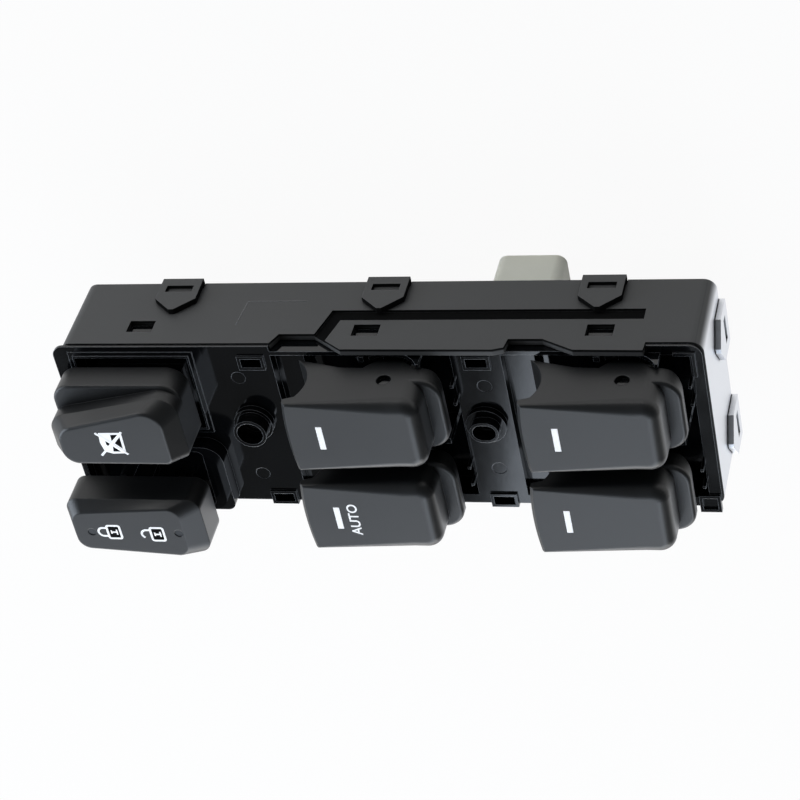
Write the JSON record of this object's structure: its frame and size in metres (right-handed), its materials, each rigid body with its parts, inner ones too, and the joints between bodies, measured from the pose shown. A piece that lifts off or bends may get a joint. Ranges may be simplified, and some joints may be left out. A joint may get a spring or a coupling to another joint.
{
  "type": "power window switch",
  "caption": "Driver's door switch module with rocking window knobs, a window lock button, a door lock rocker and a connector on its back.",
  "frame": {"origin": "middle of the housing, in the plane of the face where the switch meets its bezel", "axes": "+X along the switch, +Y towards the long side with the marking area, +Z out of the face"},
  "size_m": [0.1646, 0.0551, 0.0571],
  "materials": {
    "housing_plastic": "fine grain",
    "frame_plastic": "glossy",
    "knob_plastic": "satin",
    "indicator": "white",
    "connector_plastic": "natural nylon",
    "board": "solder mask",
    "chip": "moulded",
    "lamp": "clear yellow",
    "lens": "smoked",
    "slider_plastic": "natural",
    "brass": "stamped",
    "tin": "tinned"
  },
  "bodies": {
    "base": {"housing": "housing_plastic", "back_cover": "housing_plastic", "switch_frame": "frame_plastic", "circuit_board": "board", "connector_housing": "connector_plastic", "connector_pins": "tin", "control_chip": "chip", "board_lamps": "lamp", "window_lock_tact_switch": "chip", "door_lock_tact_switch": "chip", "door_unlock_tact_switch": "chip", "passenger_window_slide_base": "chip", "driver_window_slide_base": "chip", "rear_left_window_slide_base": "chip", "rear_right_window_slide_base": "chip"},
    "passenger_window_knob": {"passenger_window_knob": "knob_plastic", "passenger_window_indicator": "indicator"},
    "passenger_window_slider": {"passenger_window_slider": "slider_plastic", "passenger_window_wiper": "brass"},
    "driver_window_knob": {"driver_window_knob": "knob_plastic", "driver_window_indicator": "indicator"},
    "driver_window_slider": {"driver_window_slider": "slider_plastic", "driver_window_wiper": "brass"},
    "rear_left_window_knob": {"rear_left_window_knob": "knob_plastic", "rear_left_window_indicator": "indicator"},
    "rear_left_window_slider": {"rear_left_window_slider": "slider_plastic", "rear_left_window_wiper": "brass"},
    "rear_right_window_knob": {"rear_right_window_knob": "knob_plastic", "rear_right_window_indicator": "indicator"},
    "rear_right_window_slider": {"rear_right_window_slider": "slider_plastic", "rear_right_window_wiper": "brass"},
    "window_lock_button": {"window_lock_button": "knob_plastic"},
    "window_lock_plunger": {"window_lock_plunger": "slider_plastic"},
    "door_lock_rocker": {"door_lock_rocker": "knob_plastic", "rocker_lamp_lenses": "lens"},
    "door_lock_plunger": {"door_lock_plunger": "chip"},
    "door_unlock_plunger": {"door_unlock_plunger": "chip"}
  },
  "joints": [
    {"name": "passenger_window_pivot", "type": "hinge", "parent": "base", "child": "passenger_window_knob", "pos_m": [0.00475, 0.01087, 0.0079], "axis": [0, 1, 0], "range_deg": [-7, 7], "stiffness_Nm_per_rad": 0.25},
    {"name": "passenger_window_slide", "type": "slide", "parent": "base", "child": "passenger_window_slider", "axis": [1, 0, 0], "range_m": [-0.00225, 0.00225]},
    {"name": "driver_window_pivot", "type": "hinge", "parent": "base", "child": "driver_window_knob", "pos_m": [0.0039, -0.01505, 0.0079], "axis": [0, 1, 0], "range_deg": [-7, 7], "stiffness_Nm_per_rad": 0.25},
    {"name": "driver_window_slide", "type": "slide", "parent": "base", "child": "driver_window_slider", "axis": [1, 0, 0], "range_m": [-0.00225, 0.00225]},
    {"name": "rear_left_window_pivot", "type": "hinge", "parent": "base", "child": "rear_left_window_knob", "pos_m": [0.062, 0.01087, 0.0079], "axis": [0, 1, 0], "range_deg": [-7, 7], "stiffness_Nm_per_rad": 0.25},
    {"name": "rear_left_window_slide", "type": "slide", "parent": "base", "child": "rear_left_window_slider", "axis": [1, 0, 0], "range_m": [-0.00225, 0.00225]},
    {"name": "rear_right_window_pivot", "type": "hinge", "parent": "base", "child": "rear_right_window_knob", "pos_m": [0.06115, -0.01505, 0.0079], "axis": [0, 1, 0], "range_deg": [-7, 7], "stiffness_Nm_per_rad": 0.25},
    {"name": "rear_right_window_slide", "type": "slide", "parent": "base", "child": "rear_right_window_slider", "axis": [1, 0, 0], "range_m": [-0.00225, 0.00225]},
    {"name": "window_lock_press", "type": "slide", "parent": "base", "child": "window_lock_button", "axis": [0, 0, -1], "range_m": [0, 0.0016], "stiffness_N_per_m": 1500},
    {"name": "window_lock_plunger_press", "type": "slide", "parent": "base", "child": "window_lock_plunger", "axis": [0, 0, -1], "range_m": [0, 0.0017]},
    {"name": "door_lock_rock", "type": "hinge", "parent": "base", "child": "door_lock_rocker", "pos_m": [-0.0653, -0.0183, 0.011], "axis": [0, 1, 0], "range_deg": [-4, 4], "stiffness_Nm_per_rad": 0.4},
    {"name": "door_lock_plunger_press", "type": "slide", "parent": "base", "child": "door_lock_plunger", "axis": [0, 0, 1], "range_m": [-0.0006, 0.0006]},
    {"name": "door_unlock_plunger_press", "type": "slide", "parent": "base", "child": "door_unlock_plunger", "axis": [0, 0, 1], "range_m": [-0.0006, 0.0006]}
  ],
  "couplings": [
    {"joint": "passenger_window_slide", "follows": "passenger_window_pivot", "m_per_rad": -0.0177},
    {"joint": "driver_window_slide", "follows": "driver_window_pivot", "m_per_rad": -0.0177},
    {"joint": "rear_left_window_slide", "follows": "rear_left_window_pivot", "m_per_rad": -0.0177},
    {"joint": "rear_right_window_slide", "follows": "rear_right_window_pivot", "m_per_rad": -0.0177},
    {"joint": "window_lock_plunger_press", "follows": "window_lock_press", "ratio": 1},
    {"joint": "door_lock_plunger_press", "follows": "door_lock_rock", "m_per_rad": 0.008},
    {"joint": "door_unlock_plunger_press", "follows": "door_lock_rock", "m_per_rad": -0.008}
  ]
}
